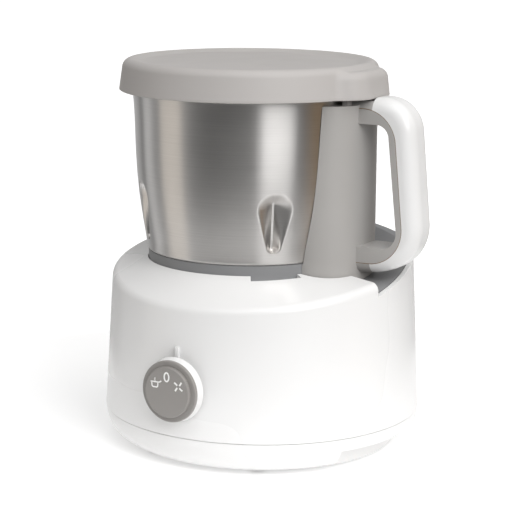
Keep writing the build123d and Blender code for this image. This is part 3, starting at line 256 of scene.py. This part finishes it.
def noise(tree, scale, detail=3.0, stretch=(1, 1, 1), offset=(0, 0, 0)):
    """Noise in the object's own metres: scale is features to the metre, stretched by axis."""
    place = tree.nodes.new("ShaderNodeTexCoord").outputs["Object"]
    mapping = tree.nodes.new("ShaderNodeMapping")
    mapping.inputs["Scale"].default_value = stretch
    mapping.inputs["Location"].default_value = offset
    tree.links.new(place, mapping.inputs["Vector"])
    node = tree.nodes.new("ShaderNodeTexNoise")
    node.inputs["Scale"].default_value = scale
    node.inputs["Detail"].default_value = detail
    tree.links.new(mapping.outputs["Vector"], node.inputs["Vector"])
    return node.outputs["Fac"]


def shaded(colour, factor):
    """A colour made darker or lighter."""
    return tuple(min(1.0, channel * factor) for channel in colour)


def new_material(name, metallic=0.0, specular=0.5):
    """A material with its tree and its shader."""
    material = bpy.data.materials.new(name)
    material.use_nodes = True
    shader = material.node_tree.nodes["Principled BSDF"]
    shader.inputs["Metallic"].default_value = metallic
    shader.inputs["Specular IOR Level"].default_value = specular
    return material, material.node_tree, shader


def add_bump(tree, shader, height, depth, strength=0.5):
    """A relief of the given depth in metres."""
    bump = tree.nodes.new("ShaderNodeBump")
    bump.inputs["Strength"].default_value = strength
    bump.inputs["Distance"].default_value = depth
    tree.links.new(height, bump.inputs["Height"])
    tree.links.new(bump.outputs["Normal"], shader.inputs["Normal"])


def plastic(name, colour, roughness, grain, depth, mottle, specular=0.5, cloud_scale=22.0):
    """Moulded plastic or rubber: faint flow mottling, uneven gloss and a fine spark-eroded grain."""
    material, tree, shader = new_material(name, specular=specular)
    cloud = noise(tree, cloud_scale, 1.0)
    tones = [(NOISE_LOW, shaded(colour, 1 - mottle)), (NOISE_HIGH, shaded(colour, 1 + mottle))]
    tree.links.new(ramp(tree, cloud, tones), shader.inputs["Base Color"])
    fine = noise(tree, grain, 2.0)
    gloss = noise(tree, 2 * cloud_scale, 1.0, offset=(3, 1, 2))
    uneven = remap(tree, gloss, NOISE_LOW, NOISE_HIGH, roughness * 0.95, roughness * 1.05)
    tree.links.new(uneven, shader.inputs["Roughness"])
    add_bump(tree, shader, fine, depth)
    return material


def metal(name, colour, roughness, streak, scale, depth=0.00001, wear=0.06, turned=None):
    """Metal with streaks along its finish; turned is the anisotropy that spreads its gleam round a wall."""
    material, tree, shader = new_material(name, metallic=1.0)
    lines = noise(tree, scale, 3.0, streak)
    cloud = noise(tree, 30.0, 3.0, offset=(5, 2, 1))
    blend = arithmetic(tree, "MULTIPLY_ADD", cloud, 0.4)
    tree.links.new(arithmetic(tree, "MULTIPLY", lines, 0.6), blend.node.inputs[2])
    tones = [(BLEND_LOW, shaded(colour, 1 - wear)), (BLEND_HIGH, shaded(colour, 1 + wear))]
    tree.links.new(ramp(tree, blend, tones), shader.inputs["Base Color"])
    uneven = remap(tree, lines, NOISE_LOW, NOISE_HIGH, roughness * 0.93, roughness * 1.07)
    tree.links.new(uneven, shader.inputs["Roughness"])
    add_bump(tree, shader, lines, depth, 0.4)
    if turned:
        shader.inputs["Anisotropic"].default_value = turned
        shader.inputs["Anisotropic Rotation"].default_value = GLEAM_TURN
        tangent = tree.nodes.new("ShaderNodeTangent")
        tangent.direction_type = "RADIAL"
        tangent.axis = "Z"
        tree.links.new(tangent.outputs["Tangent"], shader.inputs["Tangent"])
    return material


def striped(name, first, second, pitch, roughness, metallic, axis=(0, 0, 1)):
    """Fine parallel bands, as of stacked sheets or wound wire, pitch metres apart along an axis."""
    material, tree, shader = new_material(name, metallic=metallic)
    place = tree.nodes.new("ShaderNodeTexCoord").outputs["Object"]
    along = tree.nodes.new("ShaderNodeVectorMath")
    along.operation = "DOT_PRODUCT"
    along.inputs[1].default_value = axis
    tree.links.new(place, along.inputs[0])
    wave = arithmetic(tree, "SINE", arithmetic(tree, "MULTIPLY", along.outputs["Value"], math.tau / pitch))
    uneven = arithmetic(tree, "ADD", wave, noise(tree, 300.0))
    bands = ramp(tree, remap(tree, uneven, -0.5, 1.5, 0, 1), [(0.3, first), (0.6, second)])
    tree.links.new(bands, shader.inputs["Base Color"])
    gloss = remap(tree, noise(tree, 500.0), NOISE_LOW, NOISE_HIGH, roughness * 0.8, roughness * 1.2)
    tree.links.new(gloss, shader.inputs["Roughness"])
    add_bump(tree, shader, wave, 0.0001)
    return material


def make_materials():
    """One material for each of the record's slots."""
    looks = {slot: plastic(slot, *values) for slot, values in PLASTICS.items()}
    looks |= {slot: metal(slot, *values) for slot, values in METALS.items()}
    looks |= {slot: striped(slot, *values) for slot, values in STRIPES.items()}
    return looks


def dress_frame(looks):
    """Gives every CAD node the material of its slot."""
    for part in frame["record"]["subparts"]:
        node = nodes[part["node"]]
        if not node.material_slots:
            node.data.materials.append(None)
        for material_slot in node.material_slots:
            material_slot.material = looks[part["material_slot"]]


# ---------------------------------------------------------------- meshes
SHARP_ANGLE = 38  # degrees: a sharper edge isn't smoothed
BOWL_X = -10.0  # where the bowl's axis stands


def add_piece(name, points, faces, material, body, smooth=True):
    """A new piece in millimetres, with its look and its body."""
    mesh = bpy.data.meshes.new(name)
    mesh.from_pydata([tuple(c * MM for c in p) for p in points], [], faces)
    mesh.materials.append(material)
    work = bmesh.new()
    work.from_mesh(mesh)
    bmesh.ops.recalc_face_normals(work, faces=work.faces)
    work.to_mesh(mesh)
    work.free()
    if smooth:
        mesh.shade_smooth()
        mesh.set_sharp_from_angle(angle=math.radians(SHARP_ANGLE))
    piece = bpy.data.objects.new(name, mesh)
    bpy.context.collection.objects.link(piece)
    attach(piece, body)
    return piece


def woven_faces(rows, columns, close_rows):
    """Quads of a grid whose columns go round and, if close_rows, whose rows do too."""
    faces = []
    for row in range(rows if close_rows else rows - 1):
        below, above = row * columns, (row + 1) % rows * columns
        for column in range(columns):
            beside = (column + 1) % columns
            faces.append((below + column, below + beside, above + beside, above + column))
    return faces


def arc(centre, radius, start, stop, steps):
    """Points of an arc in a section, degrees from outwards, counter-clockwise."""
    turns = np.radians(np.linspace(start, stop, steps + 1))
    return [(centre[0] + radius * math.cos(t), centre[1] + radius * math.sin(t)) for t in turns]


def round_points(radii, turns, heights):
    """Points about the bowl's axis; radii and heights have a row to a level and a column to a turn."""
    across, along = BOWL_X + radii * np.cos(turns), radii * np.sin(turns)
    return np.stack([across, along, heights], axis=-1).reshape(-1, 3)


# ---------------------------------------------------------------- steel bowl
# radius and height of the wall
BOWL_WALL = ((64.6, 122.7), (66.1, 133.2), (68.65, 148.7), (70.86, 169.2), (72.06, 189.5), (73.3, 218.0))
WALL_DEGREE, WALL_MIN_R = 4, 55
FOOT_ROUND, INSIDE_ROUND = 2, 3
BOWL_FOOT_Z, BOWL_RIM_Z, STEEL, BEAD_R, BUSH_R = 122.7, 229.0, 1.0, 1.6, 8.0
RIB_ANGLES = (-133, -47, 47, 133)
RIB_DEPTH, RIB_LIP = 6.4, 0.13
RIB_TOP_Z, RIB_TOP_R, RIB_FOOT_Z, RIB_FOOT_R = 157.0, 11.3, 135.5, 5.0
CREASE_TOP_Z, CREASE_FOOT_Z, CREASE_R = 160.4, 132.6, 0.75
RIB_HALF_TURN, RIB_STEP, BOWL_STEP, RIB_HALVINGS = 10.2, 0.2, 1.5, 22  # the turns are in degrees


def drop_distance(side, height, foot_z, foot_r, top_z, top_r):
    """Distance outside an upright drop: two circles and their common tangents."""
    side, height = np.abs(side), height - foot_z
    span = top_z - foot_z
    lean = (foot_r - top_r) / span
    fall = np.sqrt(1 - lean * lean)
    along = -lean * side + fall * height
    low = np.hypot(side, height) - foot_r
    high = np.hypot(side, height - span) - top_r
    flank = side * fall + height * lean - foot_r
    return np.where(along < 0, low, np.where(along > fall * span, high, flank))


def rib_depth(side, height):
    """How far a pressed rib dents the wall: flat flanks that meet in an upright crease."""
    low, high = np.zeros_like(side), np.ones_like(side)
    for _ in range(RIB_HALVINGS):
        t = (low + high) / 2
        gone = drop_distance(
            side, height,
            RIB_FOOT_Z + (CREASE_FOOT_Z - RIB_FOOT_Z) * t, RIB_FOOT_R + (CREASE_R - RIB_FOOT_R) * t,
            RIB_TOP_Z + (CREASE_TOP_Z - RIB_TOP_Z) * t, RIB_TOP_R + (CREASE_R - RIB_TOP_R) * t,
        ) > 0
        high = np.where(gone, t, high)
        low = np.where(gone, low, t)
    soft = low - RIB_LIP * (1 - np.exp(-low / RIB_LIP))
    return RIB_DEPTH * soft / (1 - RIB_LIP)


def make_bowl(material):
    """The bowl as one skin: outside wall with pressed ribs, rolled rim, inside wall, floor with its hole."""
    wall = np.poly1d(np.polyfit([z for r, z in BOWL_WALL], [r for r, z in BOWL_WALL], WALL_DEGREE))
    levels = [*np.arange(125, 129, 1.0), *np.arange(129, 169.5, 0.75), *np.arange(171, 225.5, 3.0)]
    floor_z = BOWL_FOOT_Z + STEEL
    section = [(BUSH_R, BOWL_FOOT_Z), (30, BOWL_FOOT_Z), (58, BOWL_FOOT_Z)]
    foot_z = BOWL_FOOT_Z + FOOT_ROUND
    section += arc((wall(foot_z) - FOOT_ROUND, foot_z), FOOT_ROUND, -90, -8, 5)
    section += [(wall(z), z) for z in levels]
    section += arc((BOWL_WALL[-1][0], BOWL_RIM_Z - BEAD_R), BEAD_R, -70, 200, 16)
    section += [(wall(z) - STEEL, z) for z in reversed(levels[3:])]
    inside_r = wall(floor_z + INSIDE_ROUND) - STEEL
    section += arc((inside_r - INSIDE_ROUND, floor_z + INSIDE_ROUND), INSIDE_ROUND, -5, -90, 6)
    section += [(45, floor_z), (20, floor_z), (BUSH_R, floor_z)]
    span = np.arange(-RIB_HALF_TURN, RIB_HALF_TURN + 0.01, RIB_STEP)
    fine = [rib + side for rib in RIB_ANGLES for side in span]
    clear = RIB_HALF_TURN + 2 * RIB_STEP
    coarse = [a for a in np.arange(-180, 180, BOWL_STEP) if all(abs(a - rib) > clear for rib in RIB_ANGLES)]
    angles = np.array(sorted(fine + coarse))
    r, z = (np.array(v)[:, None] * np.ones(len(angles)) for v in zip(*section))
    on_wall = (z > BOWL_FOOT_Z + INSIDE_ROUND) & (r > WALL_MIN_R)
    depth = np.zeros_like(r)
    for rib in RIB_ANGLES:
        depth += rib_depth(np.radians(angles - rib) * r, z)
    r = r - np.where(on_wall, depth, 0)
    points = round_points(r, np.radians(angles), z)
    faces = woven_faces(len(section), len(angles), True)
    piece = add_piece("steel_bowl", points, faces, material, "bowl")
    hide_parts("bowl_shell")


# ---------------------------------------------------------------- lid
LID_Z, LID_TOP_Z, DISH_Z, LID_WALL = 222.8, 242.2, 240.4, 2.4
LID_FOOT_R, LID_LEAN, LID_ROUND = 82.1, 0.14, 4.8
# radius of the dish and its ridge, and height above the dish
DISH_RIDGE = ((1, 0), (30, 0), (60, 0), (65.5, 0), (67, 0.12), (69, 0.6), (71.5, 1.25), (73.2, 1.68))
LUG_MIDDLE, LUG_HALF_X, LUG_HALF_Y, LUG_CORNER = 60.0, 30.0, 29.0, 19.6  # in plan, from the bowl's axis
LUG_TOP_Z, LUG_DRAFT, LUG_ROUND, LUG_BLEND = 239.4, 2.0, 5.0, 3.6
FAN_R, FAN_Z, FAN_TOP = 66.0, 232.0, 50.2  # rays that find the shell start here; their steepest, in degrees
RAY_LENGTH, RAY_HALVINGS = 60.0, 26
SIDE_LEVELS = (230.5, 228.5, 226.5, 224.6, 223.6)
LUG_TURNS, LUG_STEP, LID_STEP = (8.0, 30.0), 0.4, 1.5  # degrees: where the lug needs finer columns
CARRIER_INNER_R, CARRIER_OUTER_R, CARRIER_FOOT_Z = 70.5, 75.5, 233.3
CARRIER_STEP, CARRIER_GAP = 3.0, 0.05


def rounded_corner(side, top, radius):
    """Distance outside two faces whose common edge is rounded."""
    side, top = side + radius, top + radius
    outside = np.hypot(np.maximum(side, 0), np.maximum(top, 0))
    return outside + np.minimum(np.maximum(side, top), 0) - radius


def lid_distance(r, turn, z):
    """Distance outside the lid: a leaning disc and the lug, blended with a hollow fillet."""
    disc = rounded_corner(r - LID_FOOT_R + LID_LEAN * (z - LID_Z), z - LID_TOP_Z, LID_ROUND)
    ahead = np.abs(r * np.cos(turn) - LUG_MIDDLE) - LUG_HALF_X
    aside = np.abs(r * np.sin(turn)) - LUG_HALF_Y
    plan = rounded_corner(ahead, aside, LUG_CORNER)
    draft = LUG_DRAFT * (z - LID_Z) / (LUG_TOP_Z - LID_Z)
    lug = rounded_corner(plan + draft, z - LUG_TOP_Z, LUG_ROUND)
    share = np.clip(0.5 + 0.5 * (lug - disc) / LUG_BLEND, 0, 1)
    return lug + (disc - lug) * share - LUG_BLEND * share * (1 - share)


def lid_row(start, rise, turns, inset, ceiling):
    """Where a ray in each upright half-plane leaves the lid, inset inwards, as radius and height."""
    near, far = np.zeros_like(turns), np.full_like(turns, RAY_LENGTH)
    for _ in range(RAY_HALVINGS):
        middle = (near + far) / 2
        r, z = start[0] + middle * math.cos(rise), start[1] + middle * math.sin(rise)
        out = (lid_distance(r, turns, z) > -inset) | (z > ceiling)
        far = np.where(out, middle, far)
        near = np.where(out, near, middle)
    return start[0] + near * math.cos(rise), start[1] + near * math.sin(rise)


def make_lid(material):
    """The lid as one skin: dish, ridge, side and lug outside, and the same inside, one wall in."""
    low, high = LUG_TURNS
    fine = [side * a for side in (-1, 1) for a in np.arange(low, high, LUG_STEP)]
    coarse = [a for a in np.arange(-180, 180, LID_STEP) if not low - 0.5 < abs(a) < high + 0.4]
    turns = np.radians(np.array(sorted(fine + coarse)))

    def level_row(radius, height):
        return np.zeros_like(turns) + radius, np.full_like(turns, height)

    rises = [*np.arange(FAN_TOP, 30, -2.0), *np.arange(30, 10, -0.8), *np.arange(10, -0.1, -2.5)]
    foot = lid_row((FAN_R, LID_Z), 0, turns, 0, LID_TOP_Z)[0]
    inner = lid_row((FAN_R, LID_Z), 0, turns, LID_WALL, LID_TOP_Z)[0]
    ceiling = DISH_Z - LID_WALL
    rows = [level_row(r, DISH_Z + rise) for r, rise in DISH_RIDGE]
    rows += [lid_row((FAN_R, FAN_Z), math.radians(a), turns, 0, LID_TOP_Z) for a in rises]
    rows += [lid_row((FAN_R, z), 0, turns, 0, LID_TOP_Z) for z in SIDE_LEVELS]
    rows += [level_row(foot - 0.15, LID_Z + 0.3), level_row(foot - 0.7, LID_Z)]
    rows += [level_row(inner + 0.3, LID_Z), level_row(inner, LID_Z + 0.4)]
    rows += [lid_row((FAN_R, z), 0, turns, LID_WALL, ceiling) for z in reversed(SIDE_LEVELS[:3])]
    inside_rises = np.arange(0, 81, 4.0)
    rows += [lid_row((FAN_R, FAN_Z), math.radians(a), turns, LID_WALL, ceiling) for a in inside_rises]
    rows += [level_row(r, ceiling) for r in (60, 30, 1)]
    r, z = (np.array(part) for part in zip(*rows))
    faces = woven_faces(len(rows), len(turns), False)
    last = (len(rows) - 1) * len(turns)
    faces += [tuple(range(len(turns))), tuple(last + i for i in range(len(turns)))]
    piece = add_piece("lid_cover", round_points(r, turns, z), faces, material, "lid")
    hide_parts("lid_shell")


def make_gasket_carrier(material):
    """The ring under the lid's ceiling that holds its gasket."""
    foot, top = CARRIER_FOOT_Z, DISH_Z - LID_WALL - CARRIER_GAP
    ring = [(CARRIER_INNER_R, foot), (CARRIER_OUTER_R, foot), (CARRIER_OUTER_R, top), (CARRIER_INNER_R, top)]
    turns = np.radians(np.arange(0, 360, CARRIER_STEP))
    r, z = (np.array(v)[:, None] * np.ones(len(turns)) for v in zip(*ring))
    faces = woven_faces(len(ring), len(turns), True)
    add_piece("gasket_carrier", round_points(r, turns, z), faces, material, "lid")


# ---------------------------------------------------------------- dial marks
KNOB_X, KNOB_Z, KNOB_FACE_Y = -2.2, 53.2, -109.5
MARK_RADIUS, MARK_STROKE, MARK_DEPTH, MARK_PROUD = 9.5, 0.85, 0.3, 0.04
OVAL_STEPS = 28
OVAL_STROKE, STEAM_STROKE, BLADE_STROKE = 0.95, 0.5, 1.1
MARK_ANGLES = {"dial_mark_off": 90, "dial_mark_cook": 150, "dial_mark_blend": 30}  # degrees, from the right


def unit_rows(vectors):
    """Each row made one long."""
    return vectors / np.linalg.norm(vectors, axis=1)[:, None]


def ribbon(line, width, closed):
    """A flat band along a line in a plane: its two edges."""
    line = np.array(line, float)
    ahead = np.roll(line, -1, 0) - line
    behind = line - np.roll(line, 1, 0)
    if not closed:
        ahead[-1], behind[0] = behind[-1], ahead[0]
    along = unit_rows(unit_rows(ahead) + unit_rows(behind))
    across = np.stack([-along[:, 1], along[:, 0]], axis=1) * width / 2
    return line + across, line - across


def band_faces(base, count, closed):
    """Faces round four edges of count points each, joined end to end or with both ends filled."""
    faces = []
    for i in range(count if closed else count - 1):
        j = (i + 1) % count
        for k in range(4):
            a, b = base + k * count, base + (k + 1) % 4 * count
            faces.append((a + i, a + j, b + j, b + i))
    if not closed:
        faces.append(tuple(base + k * count for k in range(4)))
        faces.append(tuple(base + k * count + count - 1 for k in range(4)))
    return faces


def mark_strokes(strokes, place):
    """Printed strokes on the knob's face as thin closed bands; a stroke is (line, width, closed)."""
    points, faces = [], []
    back, front = KNOB_FACE_Y + MARK_DEPTH, KNOB_FACE_Y - MARK_PROUD
    for line, width, closed in strokes:
        one, other = ribbon(line, width, closed)
        faces += band_faces(len(points), len(line), closed)
        for edge, y in ((one, back), (one, front), (other, front), (other, back)):
            points += [(place[0] + u, y, place[1] + v) for u, v in edge]
    return points, faces


def oval(width, height):
    """Points round an oval about the origin."""
    turns = np.linspace(0, math.tau, OVAL_STEPS, endpoint=False)
    return [(width / 2 * math.cos(t), height / 2 * math.sin(t)) for t in turns]


def make_dial_marks(material):
    """Off, cooking and blending: a nought, a lidded pan with its handle, and four blades."""
    pan = [(-2.2, 0.9), (-2.0, -1.6), (-1.4, -2.2), (1.4, -2.2), (2.0, -1.6), (2.2, 0.9)]
    rim, handle = [(-3.0, 0.95), (3.0, 0.95)], [(3.0, 0.95), (4.6, 1.9)]
    steam = [(0.35 * math.sin(v * 2.4), 1.5 + v * 0.5) for v in range(5)]
    blades = []
    for turn in (45, 135, 225, 315):
        out = np.array([math.cos(math.radians(turn)), math.sin(math.radians(turn))])
        side = np.array([-out[1], out[0]])
        blade = [tuple(out * 1.0), tuple(out * 2.3 + side * 0.15), tuple(out * 3.6 + side * 0.5)]
        blades.append((blade, BLADE_STROKE, False))
    cook = [(line, MARK_STROKE, False) for line in (pan, rim, handle)] + [(steam, STEAM_STROKE, False)]
    marks = {
        "dial_mark_off": [(oval(3.2, 5.3), OVAL_STROKE, True)],
        "dial_mark_cook": cook,
        "dial_mark_blend": blades,
    }
    for name, strokes in marks.items():
        angle = math.radians(MARK_ANGLES[name])
        place = (KNOB_X + MARK_RADIUS * math.cos(angle), KNOB_Z + MARK_RADIUS * math.sin(angle))
        points, faces = mark_strokes(strokes, place)
        add_piece(name, points, faces, material, "knob", smooth=False)


# ---------------------------------------------------------------- seam of the handle
HANDLE_SEAM = ((62, 217.4), (95.1, 217.4), (104.5, 123.2), (62, 122.7))
HANDLE_SEAM_ROUND, SEAM, HANDLE_HALF, BEND_STEPS = 22.0, 0.35, 12.0, 14
SEAM_FILL, SEAM_INSET = 0.9, 0.06  # share of the gap that the painted-shadow band fills, and how deep it lies at the sides


def rounded_line(corners, radius):
    """A line with every inner corner rounded."""
    line = [np.array(corners[0], float)]
    for before, corner, after in zip(corners, corners[1:], corners[2:]):
        corner = np.array(corner, float)
        to_before, to_after = unit_rows(np.array([before - corner, after - corner]))
        half = math.acos(float(to_before @ to_after)) / 2
        middle = to_before + to_after
        centre = corner + middle / np.linalg.norm(middle) * radius / math.sin(half)
        start, stop = (corner + side * radius / math.tan(half) - centre for side in (to_before, to_after))
        turn = math.atan2(start[0] * stop[1] - start[1] * stop[0], float(start @ stop))
        across = np.array((-start[1], start[0]))
        for i in range(BEND_STEPS + 1):
            a = turn * i / BEND_STEPS
            line.append(centre + start * math.cos(a) + across * math.sin(a))
    line.append(np.array(corners[-1], float))
    return line


def make_seam(material):
    """A thin dark brown band in the seam between the grip's shell and its liner: painted shadow of the gap.
    """
    one, other = ribbon(rounded_line(HANDLE_SEAM, HANDLE_SEAM_ROUND), SEAM * SEAM_FILL, False)
    inward = unit_rows(one - other) * SEAM / 2
    if inward[0][1] > 0:
        inward = -inward
    half = HANDLE_HALF - SEAM_INSET
    points = []
    for edge, y in ((one, -half), (one, half), (other, half), (other, -half)):
        points += [(x, y, z) for x, z in edge + inward]
    add_piece("grip_seam", points, band_faces(0, len(one), False), material, "bowl")


make_camera()
make_studio()
looks = make_materials()
dress_frame(looks)
make_bowl(looks["bowl_steel"])
make_lid(looks["lid_grey"])
make_gasket_carrier(looks["lid_grey"])
make_dial_marks(plastic("mark_white", *MARK_WHITE))
make_seam(plastic("seam_shadow_brown", *SEAM_SHADOW_BROWN))
